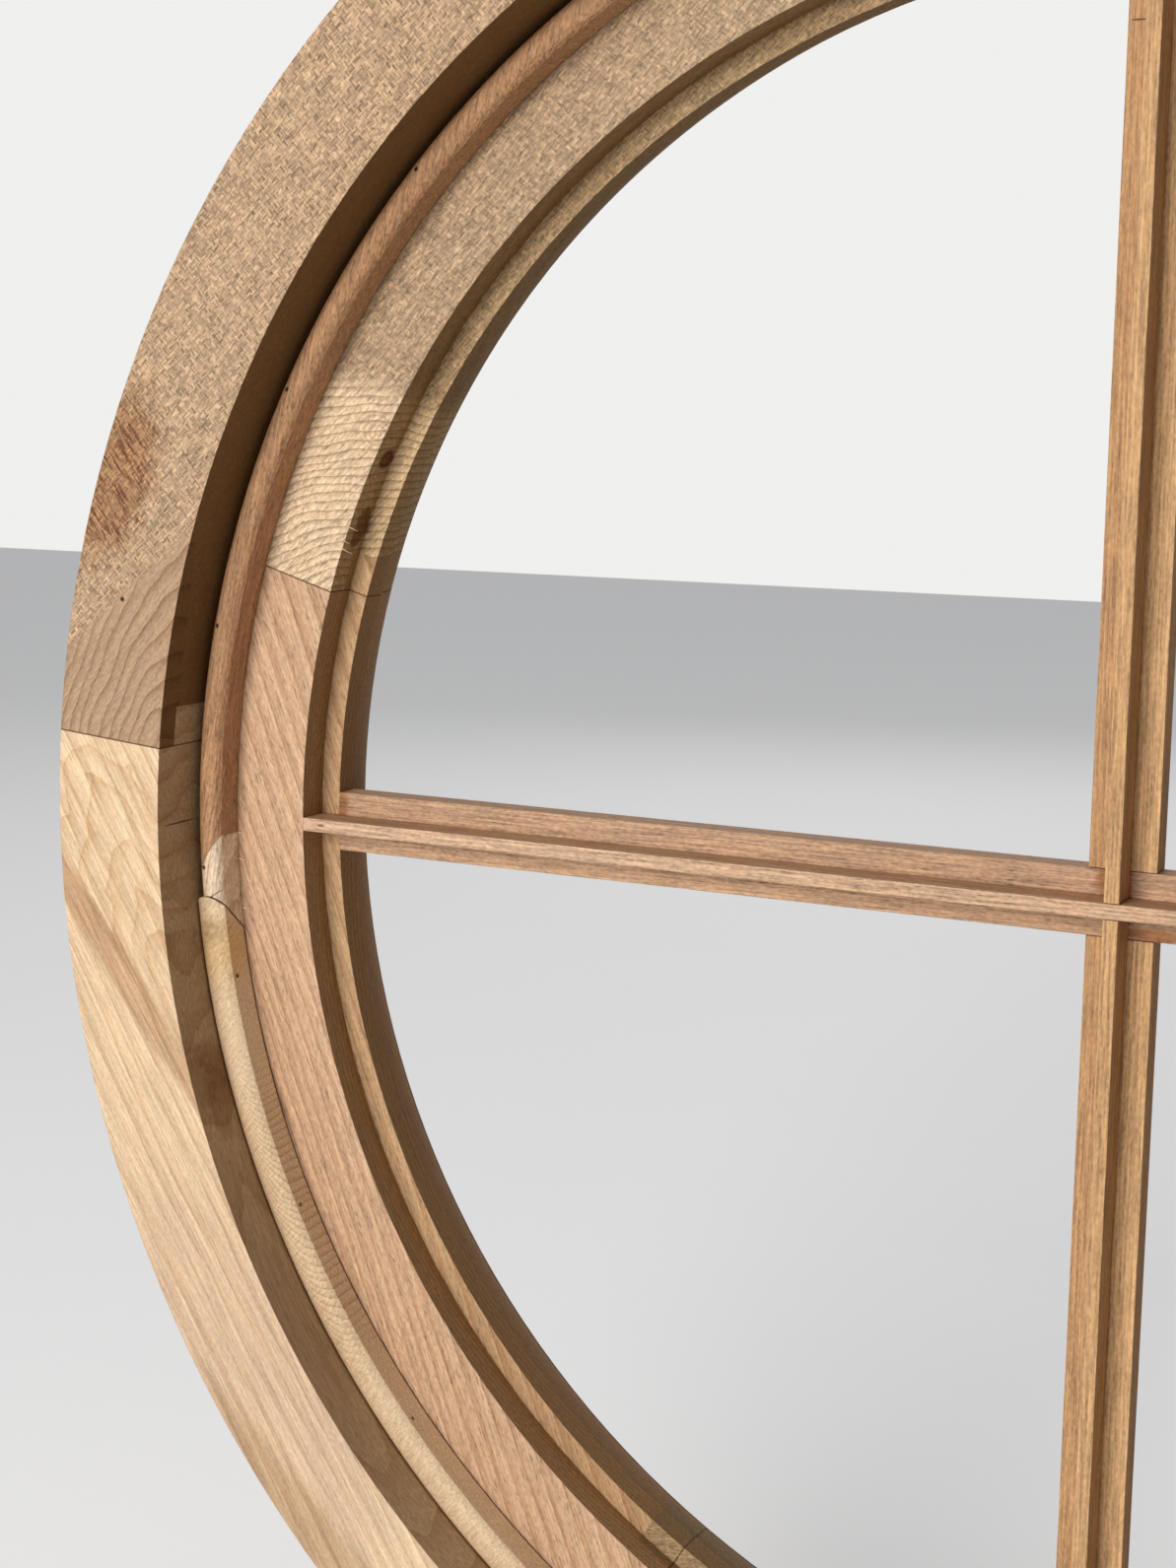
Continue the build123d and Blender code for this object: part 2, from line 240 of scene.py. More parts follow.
number = "NodeSocketFloat"
colour = "NodeSocketColor"
vector = "NodeSocketVector"


def year_lines(group, from_heart, spacing, uneven, sharpness):
    """Late-wood lines at a distance from the heart: slowly darker, then an edge."""
    years = maths(group, "Years", "DIVIDE", from_heart, spacing)
    years = maths(group, "Uneven years", "ADD", years, uneven)
    season = maths(group, "Season", "FRACT", years)
    late = maths(group, "Late wood", "POWER", season, sharpness)
    early_edge = step_up(group, "Start of the year", season, 0.0, early_edge_share)
    return maths(group, "Year line", "MULTIPLY", late, early_edge)


def solid_timber_group():
    """Sawn timber as a solid: growth rings round a heart, fibres and pores along the grain."""
    group, given, result = new_group(
        "solid_timber",
        (
            ("Position", vector, None),
            ("Grain Angle", number, 0.0),
            ("Heart Across", number, 60.0),
            ("Heart Depth", number, 40.0),
            ("Ring Spacing", number, 5.0),
            ("Figure", number, 4.0),
            ("Early Wood", colour, None),
            ("Late Wood", colour, None),
            ("Ring Strength", number, 0.5),
            ("Fibre Strength", number, 1.0),
            ("Speckle Strength", number, 1.0),
            ("Pore Strength", number, 0.5),
        ),
        (("Color", colour), ("Roughness", number), ("Height", number)),
    )
    along = turned(group, "Along the grain", given["Position"], given["Grain Angle"])
    parts = split_axes(group, "Board axes", along)
    sway = stretched_noise(group, "Sway of the rings", along, (0.006, 0.02, 0.02), 3.0)
    sway = maths(group, "Sway in millimetres", "MULTIPLY", sway, given["Figure"])
    across = maths(group, "Across the board", "ADD", parts[2], given["Heart Across"])
    across = maths(group, "Swayed across", "ADD", across, sway)
    depth = maths(group, "Into the board", "ADD", parts[1], given["Heart Depth"])
    across_squared = maths(group, "Across squared", "MULTIPLY", across, across)
    depth_squared = maths(group, "Depth squared", "MULTIPLY", depth, depth)
    squares = maths(group, "Squares", "ADD", across_squared, depth_squared)
    from_heart = maths(group, "Distance from the heart", "SQRT", squares)
    uneven = stretched_noise(group, "Uneven spacing", along, (0.002, 0.05, 0.05), 1.0)
    line = year_lines(group, from_heart, given["Ring Spacing"], uneven, ring_sharpness)
    fibres = stretched_noise(group, "Fibres", along, (0.045, 1.1, 1.1), 4.0)
    speckle = stretched_noise(group, "Speckle", along, (0.5, 1.3, 1.3), 3.0)
    pores = stretched_noise(group, "Pores", along, (0.28, 2.3, 2.3), 2.0)
    pores = step_up(group, "Open pores", pores, 0.07, 0.20)
    clouds = stretched_noise(group, "Clouds", along, (0.004, 0.02, 0.02), 2.0)
    tone = maths(group, "Ring tone", "MULTIPLY", line, given["Ring Strength"])
    tone = maths(group, "Cloudy tone", "ADD", tone, clouds)
    tone = maths(group, "Tone", "ADD", tone, tone_floor, clamp=True)
    body = mix_colours(group, "Body", tone, given["Early Wood"], given["Late Wood"])
    fibre_tone = maths(group, "Fibre tone", "MULTIPLY", fibres, given["Fibre Strength"])
    speckle_tone = maths(group, "Speckle tone", "MULTIPLY", speckle, given["Speckle Strength"])
    light = maths(group, "Fine light and dark", "ADD", fibre_tone, speckle_tone)
    pore_tone = maths(group, "Pore tone", "MULTIPLY", pores, given["Pore Strength"])
    light = maths(group, "Less the pores", "SUBTRACT", light, pore_tone)
    light = maths(group, "Brightness", "ADD", light, 1.0)
    light = maths(group, "Brightness kept up", "MAXIMUM", light, 0.15)
    body = vector_maths(group, "Grained body", "SCALE", {0: body, "Scale": light})
    rough = maths(group, "Rough", "MULTIPLY_ADD", fibres, 0.4, 0.66)
    group.links.new(body, result["Color"])
    group.links.new(rough, result["Roughness"])
    group.links.new(light, result["Height"])
    return group


def cross_fleck_group():
    """Short flecks in two directions, woven over each other on the faces of the window."""
    group, given, result = new_group(
        "cross_fleck",
        (
            ("Position", vector, None),
            ("Normal", vector, None),
            ("Fleck Angle", number, 0.0),
            ("Color", colour, None),
            ("Strength", number, 0.5),
        ),
        (("Color", colour), ("Height", number)),
    )
    facing = split_axes(group, "Facing", given["Normal"])[1]
    facing = maths(group, "Front or back", "ABSOLUTE", facing)
    facing = step_up(group, "On a face", facing, 0.5, 0.9)
    flecks = []
    for label, turn in (("Warp flecks", 0.0), ("Weft flecks", radians(90.0))):
        angle = maths(group, label, "ADD", given["Fleck Angle"], turn)
        direction = turned(group, label, given["Position"], angle)
        flecks.append(stretched_noise(group, label, direction, (0.15, 0.3, 1.35), 0.0))
    wobble = stretched_noise(group, "Uneven weave", given["Position"], (0.15, 0.15, 0.15), 1.0)
    wobble = maths(group, "Wobble in millimetres", "MULTIPLY", wobble, weave_wobble)
    weave = vector_maths(group, "Uneven place", "ADD", {0: direction, 1: wobble})
    weave = vector_maths(group, "In the face", "MULTIPLY", {0: weave, 1: (1.0, 0.0, 1.0)})
    inputs = {"Vector": weave, "Scale": 1 / fleck_length}
    choice = add_node(group, "ShaderNodeTexChecker", "Over or under", {}, inputs).outputs["Fac"]
    inputs = {0: choice, 2: flecks[0], 3: flecks[1]}
    woven = add_node(group, "ShaderNodeMix", "Woven", {"data_type": "FLOAT"}, inputs).outputs[0]
    woven = maths(group, "Fleck strength", "MULTIPLY", woven, given["Strength"])
    woven = maths(group, "Flecks on faces", "MULTIPLY", woven, facing)
    light = maths(group, "Fleck light", "ADD", woven, 1.0)
    light = maths(group, "Fleck light kept up", "MAXIMUM", light, 0.3)
    flecked = vector_maths(group, "Flecked", "SCALE", {0: given["Color"], "Scale": light})
    group.links.new(flecked, result["Color"])
    group.links.new(woven, result["Height"])
    return group


def oval_mask_group():
    """Soft, ragged-edged oval at a place, turned in the plane of the window."""
    group, given, result = new_group(
        "oval_mask",
        (
            ("Position", vector, None),
            ("Centre", vector, None),
            ("Turn", number, 0.0),
            ("Half Size", vector, None),
            ("Softness", number, 0.2),
            ("Raggedness", number, 0.0),
        ),
        (("Mask", number),),
    )
    inputs = {0: given["Position"], 1: given["Centre"]}
    away = vector_maths(group, "From the centre", "SUBTRACT", inputs)
    away = turned(group, "Turned", away, given["Turn"])
    ragged = stretched_noise(group, "Ragged edge", away, (0.12, 0.12, 0.5), 3.0)
    ragged = maths(group, "Ragged share", "MULTIPLY", ragged, given["Raggedness"])
    inputs = {0: away, 1: given["Half Size"]}
    share = vector_maths(group, "Share of the half size", "DIVIDE", inputs)
    length = add_node(
        group, "ShaderNodeVectorMath", "How far out", {"operation": "LENGTH"}, {0: share}
    ).outputs["Value"]
    length = maths(group, "Ragged distance", "ADD", length, ragged)
    outer = maths(group, "Outer edge", "ADD", 1.0, given["Softness"])
    inner = maths(group, "Inner edge", "SUBTRACT", 1.0, given["Softness"])
    group.links.new(step_up(group, "Inside", length, outer, inner), result["Mask"])
    return group


def growth_arc_group():
    """Growth lines that arch round a centre in the face of a board."""
    group, given, result = new_group(
        "growth_arcs",
        (
            ("Position", vector, None),
            ("Centre", vector, None),
            ("Turn", number, 0.0),
            ("Stretch", number, 1.0),
            ("Spacing", number, 4.0),
            ("Sway", number, 6.0),
        ),
        (("Line", number),),
    )
    inputs = {0: given["Position"], 1: given["Centre"]}
    away = vector_maths(group, "From the centre", "SUBTRACT", inputs)
    away = turned(group, "Turned", away, given["Turn"])
    parts = split_axes(group, "Arc axes", away)
    along = maths(group, "Stretched", "DIVIDE", parts[0], given["Stretch"])
    along_squared = maths(group, "Along squared", "MULTIPLY", along, along)
    across_squared = maths(group, "Across squared", "MULTIPLY", parts[2], parts[2])
    squares = maths(group, "Squares", "ADD", along_squared, across_squared)
    distance = maths(group, "Distance", "SQRT", squares)
    sway = stretched_noise(group, "Sway", away, (0.04, 0.02, 0.05), 2.0)
    sway = maths(group, "Sway in millimetres", "MULTIPLY", sway, given["Sway"])
    distance = maths(group, "Swayed distance", "ADD", distance, sway)
    uneven = stretched_noise(group, "Uneven spacing", away, (0.05, 0.02, 0.05), 1.0)
    line = year_lines(group, distance, given["Spacing"], uneven, arc_sharpness)
    group.links.new(line, result["Line"])
    return group


def joint_line_group():
    """Dark hairline where two pieces of a ring meet."""
    group, given, result = new_group(
        "joint_line",
        (("Position", vector, None), ("Start Angle", number, 0.0), ("End Angle", number, 0.0)),
        (("Mask", number),),
    )
    place = split_axes(group, "Place", given["Position"])
    lines = []
    for label in ("Start Angle", "End Angle"):
        rise = maths(group, label, "COSINE", given[label])
        run = maths(group, label, "SINE", given[label])
        over = maths(group, label, "MULTIPLY", place[2], rise)
        side = maths(group, label, "MULTIPLY", place[0], run)
        away = maths(group, label, "ABSOLUTE", maths(group, label, "SUBTRACT", over, side))
        lines.append(step_up(group, label, away, joint_half_width, 0.1))
    either = maths(group, "Either joint", "MAXIMUM", lines[0], lines[1])
    group.links.new(either, result["Mask"])
    return group


# The shader groups, kept by name once they are built
shared = {}


def shade(light, share, warmth=0.85):
    """Late-wood colour of a timber: a share of its early wood, a little redder."""
    red, green, blue = light
    return (red * share, green * share * warmth, blue * share * warmth * warmth, 1.0)


def on_ring(radius, angle, height):
    """Place on a circle about the middle, at a height towards the viewer, in millimetres."""
    return (radius * cos(radians(angle)), -height, radius * sin(radians(angle)))


class Surface:
    """A timber surface as it is built up: its colour and height sockets in one material."""

    def __init__(self, name, light):
        self.material = bpy.data.materials.new(name)
        self.material.use_nodes = True
        self.tree = self.material.node_tree
        place = add_node(self.tree, "ShaderNodeTexCoord", "Place").outputs
        self.normal = place["Normal"]
        self.position = vector_maths(
            self.tree, "In millimetres", "SCALE", {0: place["Object"], "Scale": 1 / millimetre}
        )
        self.light = light
        self.colour = None
        self.rough = None
        self.height = None

    def group(self, name, label, inputs):
        """Outputs of a shared effect, which always gets the place in millimetres."""
        inputs["Position"] = self.position
        settings = {"node_tree": shared[name]}
        return add_node(self.tree, "ShaderNodeGroup", label, settings, inputs).outputs

    def timber(self, grain, heart, spacing, figure, late, rings, fibres, speckle, pores):
        """Solid timber: grain is an angle, and heart a place in the board, across and in depth.

        The rings lie spacing apart, sway by figure and have late wood of that share of the
        light; the last four are strengths.
        """
        outputs = self.group(
            "timber",
            "Solid timber",
            {
                "Grain Angle": radians(grain),
                "Heart Across": heart[0],
                "Heart Depth": heart[1],
                "Ring Spacing": spacing,
                "Figure": figure,
                "Early Wood": (*self.light, 1.0),
                "Late Wood": shade(self.light, late),
                "Ring Strength": rings,
                "Fibre Strength": fibres,
                "Speckle Strength": speckle,
                "Pore Strength": pores,
            },
        )
        self.colour = outputs["Color"]
        self.rough = outputs["Roughness"]
        self.height = outputs["Height"]

    def oval(self, label, centre, half_size, turn=0.0, softness=0.3, ragged=0.0):
        """Mask of an oval at a place in millimetres."""
        inputs = {
            "Centre": centre,
            "Half Size": half_size,
            "Turn": radians(turn),
            "Softness": softness,
            "Raggedness": ragged,
        }
        return self.group("oval", label, inputs)["Mask"]

    def disc(self, label, radius, softness):
        """Mask of all that lies within a radius of the middle, at any depth."""
        half_size = (radius, anywhere, radius)
        return self.oval(label, (0.0, 0.0, 0.0), half_size, softness=softness)

    def tint(self, label, mask, tone):
        """Multiplies the colour by a tone where a mask says."""
        self.colour = mix_colours(self.tree, label, mask, self.colour, (*tone, 1.0), "MULTIPLY")

    def sink(self, label, mask, amount):
        """Lowers the surface where a mask says."""
        mask = maths(self.tree, label, "MULTIPLY", mask, -amount)
        self.height = maths(self.tree, label, "ADD", self.height, mask)

    def mark(self, label, centre, half_size, tone, **shape):
        """Mark of a given shape, darker or paler than its ground."""
        self.tint(label, self.oval(label, centre, half_size, **shape), tone)

    def streaks(self, label, mask, angle, scales):
        """Mask of narrow streaks inside a mask, at an angle in the plane of the window."""
        direction = turned(self.tree, label, self.position, radians(angle))
        noise = stretched_noise(self.tree, label, direction, scales)
        noise = step_up(self.tree, label, noise, 0.0, 0.12)
        return maths(self.tree, label, "MULTIPLY", noise, mask)

    def arcs(self, label, mask, centre, tone, turn, stretch, spacing, sway):
        """Arching growth lines inside a mask, drawn out along the turned direction."""
        inputs = {
            "Centre": centre,
            "Turn": radians(turn),
            "Stretch": stretch,
            "Spacing": spacing,
            "Sway": sway,
        }
        line = self.group("arcs", label, inputs)["Line"]
        self.tint(label, maths(self.tree, label, "MULTIPLY", line, mask), tone)

    def flecks(self, angle, strength, bare=None):
        """Woven flecks on the faces, left off where a mask says bare."""
        if bare is not None:
            cover = maths(self.tree, "Not bare", "SUBTRACT", 1.0, bare)
            strength = maths(self.tree, "Fleck cover", "MULTIPLY", cover, strength)
        outputs = self.group(
            "fleck",
            "Cross flecks",
            {
                "Normal": self.normal,
                "Fleck Angle": radians(angle),
                "Color": self.colour,
                "Strength": strength,
            },
        )
        self.colour = outputs["Color"]
        self.height = maths(self.tree, "Raised flecks", "ADD", self.height, outputs["Height"])

    def paint_wall_shade(self, tone):
        """Painted shade on the sides inside the frame; its outer rim stays as it is."""
        facing = split_axes(self.tree, "Facing", self.normal)[1]
        facing = maths(self.tree, "Front or back", "ABSOLUTE", facing)
        side = step_up(self.tree, "On a side", facing, 0.8, 0.3)
        inside = self.disc("Inside the rim", wall_shade_reach, 0.01)
        # Painted shade on the inner sides
        self.tint("Sides", maths(self.tree, "Inner sides", "MULTIPLY", side, inside), tone)

    def joints(self, start, end):
        """Hairlines at both ends of a piece of a ring."""
        inputs = {"Start Angle": radians(start), "End Angle": radians(end)}
        mask = self.group("joint", "Joint lines", inputs)["Mask"]
        self.tint("Joints", mask, joint_tone)

    def paint_crease_shade(self):
        """Painted shade where two faces meet in a corner or close in a narrow gap."""
        inputs = {"Distance": crease_shade_reach * millimetre}
        openness = add_node(
            self.tree, "ShaderNodeAmbientOcclusion", "Open to the air", {"samples": 4}, inputs
        ).outputs["AO"]
        self.tint("Creases", step_up(self.tree, "Crease", openness, 0.75, 0.25), crease_shade_tone)

    def finished(self):
        """Joins everything to the shader and gives the material."""
        shader = self.tree.nodes["Principled BSDF"]
        # Painted shade in corners and narrow gaps
        self.paint_crease_shade()
        inputs = {"Radius": edge_radius * millimetre}
        eased = add_node(
            self.tree, "ShaderNodeBevel", "Eased edge", {"samples": 4}, inputs
        ).outputs[0]
        inputs = {
            "Height": self.height,
            "Normal": eased,
            "Strength": 0.5,
            "Distance": relief_depth * millimetre,
        }
        bump = add_node(self.tree, "ShaderNodeBump", "Grain relief", {}, inputs).outputs[0]
        self.tree.links.new(self.colour, shader.inputs["Base Color"])
        self.tree.links.new(self.rough, shader.inputs["Roughness"])
        self.tree.links.new(bump, shader.inputs["Normal"])
        shader.inputs["Specular IOR Level"].default_value = 0.25
        return self.material


def metal_material(name, light, roughness, wear_scale):
    """Plain metal, dulled unevenly by handling."""
    material = bpy.data.materials.new(name)
    material.use_nodes = True
    tree = material.node_tree
    shader = tree.nodes["Principled BSDF"]
    place = add_node(tree, "ShaderNodeTexCoord", "Place").outputs["Object"]
    dull = add_node(
        tree, "ShaderNodeTexNoise", "Dull patches", {}, {"Vector": place, "Scale": wear_scale}
    ).outputs[0]
    tarnish = mix_colours(tree, "Tarnish", dull, (*light, 1.0), shade(light, 0.6))
    gloss = maths(tree, "Uneven gloss", "MULTIPLY_ADD", dull, 0.3, roughness)
    bump = add_node(tree, "ShaderNodeBump", "Scratches", {}, {"Height": dull, "Strength": 0.1})
    tree.links.new(tarnish, shader.inputs["Base Color"])
    tree.links.new(gloss, shader.inputs["Roughness"])
    tree.links.new(bump.outputs[0], shader.inputs["Normal"])
    shader.inputs["Metallic"].default_value = 1.0
    return material


def finish_node(name, material):
    """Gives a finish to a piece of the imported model."""
    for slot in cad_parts[name].material_slots:
        slot.material = material


def ring_pieces(joint_angles):
    """Name, start angle and end angle of each piece of a ring."""
    ends = joint_angles[1:] + (joint_angles[0] + 360.0,)
    return zip(segment_names, joint_angles, ends)


def grain_along(start, end):
    """Grain angle of a board laid along the chord between two angles."""
    return (start + end) / 2 + 90.0


# One operator for each group of like pieces


class FinishFrameRing(bpy.types.Operator):
    """Finish the five comb-jointed pieces of the frame."""

    bl_idname = "window.finish_frame_ring"
    bl_label = "Frame Ring"

    def execute(self, context):
        settings = context.scene.round_window
        for name, start, end in ring_pieces(frame_joint_angles):
            grain = grain_along(start, end)
            if name in ("lower_left", "bottom"):
                surface = Surface(f"frame timber {name}", settings.frame_cream)
                surface.timber(
                    grain, heart=(-250.0, 150.0), spacing=8.0, figure=32.0, late=0.70,
                    rings=0.60, fibres=1.0, speckle=0.6, pores=0.1,
                )
                # Painted shade on the inner sides of the pale lower pieces
                surface.paint_wall_shade((0.66, 0.62, 0.54))
            else:
                surface = Surface(f"frame timber {name}", settings.frame_tan)
                surface.timber(
                    grain, heart=(-330.0, 120.0), spacing=9.0, figure=40.0, late=0.80,
                    rings=0.20, fibres=0.6, speckle=0.9, pores=0.2,
                )
                # Deeper painted shade on the inner sides of the tan upper pieces
                surface.paint_wall_shade((0.42, 0.32, 0.17))
            if name == "upper_left":
                self.figured_end(surface, grain)
            elif name == "lower_left":
                self.striped_board(surface)
            elif name in ("top", "right"):
                surface.flecks(grain, frame_fleck_strength)
            surface.joints(start, end)
            finish_node(f"frame_segment_{name}", surface.finished())
        return {"FINISHED"}

    def figured_end(self, surface, grain):
        """Woven flecks, with a flame figure towards the lower joint and a browner patch."""
        flame = surface.oval(
            "Flame figure", (-320.4, -frame_face, 31.6), (220.0, 12.0, 73.0),
            turn=38.2, softness=0.04, ragged=0.06,
        )
        surface.flecks(grain - 8.0, frame_fleck_strength, flame)
        surface.tint("Flame ground", flame, (0.97, 0.96, 0.96))
        surface.arcs(
            "Flame lines", flame, (-357.0, -frame_face, 32.0), (0.58, 0.50, 0.44),
            turn=66.0, stretch=3.2, spacing=4.5, sway=3.0,
        )
        brown = surface.oval(
            "Brown patch", (-371.0, -frame_face, 131.0), (32.0, 20.0, 17.0),
            turn=68.0, softness=0.35, ragged=1.1,
        )
        surface.tint("Brown patch", brown, (0.76, 0.62, 0.50))
        streaks = surface.streaks("Brown streaks", brown, -52.0, (0.10, 0.3, 0.9))
        surface.tint("Brown streaks", streaks, (0.52, 0.36, 0.26))
        # Painted shade in a small hole in the face
        surface.mark(
            "Painted shade in a small hole", (-368.0, -frame_face, 85.4), (0.9, 4.0, 0.9), (0.08, 0.05, 0.03),
            softness=0.4,
        )

    def striped_board(self, surface):
        """Grey-brown band across a pale board, with wavy lines above it and a browner foot."""
        band = surface.oval(
            "Grey band", (-374.0, -frame_face, -55.0), (80.0, 40.0, 6.5),
            turn=-51.3, softness=0.3, ragged=0.4,
        )
        surface.tint("Grey band", band, (0.76, 0.68, 0.62))
        streaks = surface.streaks("Band streaks", band, -55.0, (0.02, 0.1, 0.45))
        surface.tint("Band streaks", streaks, (0.85, 0.80, 0.75))
        wavy = surface.oval(
            "Wavy figure", (-372.0, -frame_face, -10.0), (52.0, 30.0, 30.0),
            turn=-55.0, softness=0.3, ragged=0.5,
        )
        surface.arcs(
            "Wavy lines", wavy, (-352.0, 0.0, -62.0), (0.84, 0.74, 0.63),
            turn=112.0, stretch=3.0, spacing=6.5, sway=16.0,
        )
        surface.mark(
            "Pencil line", (-frame_inner_radius, -42.0, 0.0), (3.0, 9.5, 0.35), (0.25, 0.22, 0.2),
            softness=0.3,
        )
        surface.mark(
            "Brown outer edge", on_ring(393.0, 226.0, frame_face), (105.0, 20.0, 13.0),
            (0.80, 0.75, 0.68), turn=136.0, softness=0.3, ragged=0.5,
        )
        surface.mark(
            "Browner foot of the board", on_ring(380.0, 214.0, frame_face), (90.0, 20.0, 40.0),
            (0.87, 0.84, 0.86), turn=124.0, softness=0.35, ragged=0.3,
        )
        surface.mark(
            "Rough patch on the wall", on_ring(frame_inner_radius, 197.25, 42.5), (18.0, 7.0, 6.0),
            (0.84, 0.76, 0.68), turn=107.25, softness=0.15, ragged=1.6,
        )


class FinishSashRing(bpy.types.Operator):
    """Finish the five comb-jointed pieces of the sash."""

    bl_idname = "window.finish_sash_ring"
    bl_label = "Sash Ring"

    def execute(self, context):
        settings = context.scene.round_window
        for name, start, end in ring_pieces(sash_joint_angles):
            grain = grain_along(start, end)
            if name in ("lower_left", "right"):
                surface = Surface(f"sash timber {name}", settings.sash_pink)
                surface.timber(
                    grain, heart=(200.0, 260.0), spacing=2.3, figure=8.0, late=0.66,
                    rings=0.75, fibres=1.0, speckle=0.8, pores=0.35,
                )
            else:
                surface = Surface(f"sash timber {name}", settings.sash_pale)
                surface.timber(
                    grain, heart=(200.0, 60.0), spacing=3.6, figure=16.0, late=0.70,
                    rings=0.30, fibres=0.8, speckle=1.5, pores=0.2,
                )
            if name == "upper_left":
                self.knotted_end(surface, grain)
            elif name in ("top", "bottom"):
                surface.flecks(grain + sash_fleck_turn, 0.9)
            # Painted shade on the sides of the sash, its rebate walls among them
            surface.paint_wall_shade((0.64, 0.55, 0.38))
            surface.mark(
                "Browner ledge", (0.0, -6.0, 0.0), (600.0, 8.0, 600.0), (0.85, 0.81, 0.68)
            )
            surface.joints(start, end)
            finish_node(f"sash_segment_{name}", surface.finished())
        return {"FINISHED"}

    def knotted_end(self, surface, grain):
        """Arched growth lines by the lower joint, with a knot, and a chip in the rebate wall with
        painted shade in its hollow.
        """
        arched = surface.oval(
            "Arched figure", (-302.0, 0.0, 118.0), (58.0, anywhere, 48.0),
            turn=20.0, softness=0.15, ragged=0.2,
        )
        surface.flecks(grain + sash_fleck_turn, 1.2, arched)
        surface.tint("Paler ground", arched, (1.74, 1.90, 2.10))
        surface.arcs(
            "Arched lines", arched, (-282.0, 0.0, 22.0), (0.50, 0.40, 0.31),
            turn=0.0, stretch=1.0, spacing=3.1, sway=5.0,
        )
        swirl = surface.oval(
            "Swirl", (-277.0, -22.0, 148.0), (8.0, 8.0, 8.0), softness=0.4, ragged=0.4
        )
        surface.arcs(
            "Swirl lines", swirl, (-277.0, 0.0, 148.0), (0.66, 0.54, 0.46),
            turn=0.0, stretch=1.3, spacing=1.7, sway=2.0,
        )
        knot = on_ring(rebate_radius, 153.6, 13.6)
        surface.mark(
            "Knot", knot, (4.4, 4.2, 3.8), (0.24, 0.13, 0.08), softness=0.25, ragged=0.4
        )
        surface.mark("Knot middle", knot, (2.4, 2.4, 1.8), (1.9, 1.7, 1.5), softness=0.35)
        chip = surface.oval(
            "Chip", on_ring(rebate_radius, 158.7, 14.0), (8.0, 4.5, 3.5),
            turn=68.7, softness=0.15, ragged=1.5,
        )
        # Painted shade in the hollow of the chip
        surface.tint("Chip", chip, (0.42, 0.31, 0.21))
        surface.sink("Chip hollow", chip, 2.0)


class FinishGlazingBars(bpy.types.Operator):
    """Finish the two glazing bars."""

    bl_idname = "window.finish_glazing_bars"
    bl_label = "Glazing Bars"

    def execute(self, context):
        settings = context.scene.round_window
        self.horizontal(settings)
        self.vertical(settings)
        return {"FINISHED"}

    def horizontal(self, settings):
        """Pink bar with a pale nose, and stains where it meets the other bar and the sash."""
        surface = Surface("bar timber horizontal", settings.bar_pink)
        surface.timber(
            0.0, heart=(140.0, 90.0), spacing=1.6, figure=4.0, late=0.72,
            rings=0.50, fibres=1.7, speckle=1.0, pores=0.3,
        )
        surface.mark(
            "Pale nose", (0.0, -24.0, 0.0), (500.0, 6.0, 5.0), (1.16, 1.22, 1.28), softness=0.4
        )
        surface.mark(
            "Stain at the left", (-5.5, bar_flange_depth, 7.5), (3.2, 2.0, 4.5), stain_tone,
            softness=0.5, ragged=0.6,
        )
        surface.mark(
            "Stain at the right", (11.0, bar_flange_depth, -9.5), (9.0, 4.0, 2.5), stain_tone,
            softness=0.5, ragged=0.8,
        )
        surface.mark(
            "Stain at the sash", (-302.0, bar_flange_depth, 6.0), (3.0, 3.0, 6.0), stain_tone,
            softness=0.5, ragged=0.8,
        )
        surface.mark(
            "Dent in the nose", (-303.0, -22.0, 0.2), (1.5, 2.0, 0.5), (0.35, 0.22, 0.15)
        )
        # Painted shade on the sides of the bar
        surface.paint_wall_shade((0.90, 0.84, 0.76))
        finish_node("glazing_bar_horizontal", surface.finished())

    def vertical(self, settings):
        """Golden bar with a pencil line near its top, painted shade on its left flange and painted
        light on its right flange.
        """
        surface = Surface("bar timber vertical", settings.bar_golden)
        surface.timber(
            90.0, heart=(140.0, 90.0), spacing=1.9, figure=4.0, late=0.74,
            rings=0.45, fibres=1.7, speckle=0.9, pores=0.2,
        )
        surface.mark(
            "Pencil line", (-7.6, bar_flange_depth, 279.0), (2.9, 1.5, 0.3), (0.3, 0.24, 0.2)
        )
        flange_half = (5.0, 4.0, anywhere)
        # Painted shade on the left flange and painted light on the right flange
        surface.mark(
            "Painted shade on the left flange", (-7.0, bar_flange_depth, 0.0), flange_half, (0.87, 0.83, 0.82)
        )
        surface.mark(
            "Painted light on the right flange", (7.0, bar_flange_depth, 0.0), flange_half, (1.14, 1.17, 1.20)
        )
        # Painted shade on the sides of the bar
        surface.paint_wall_shade((0.88, 0.80, 0.70))
        finish_node("glazing_bar_vertical", surface.finished())


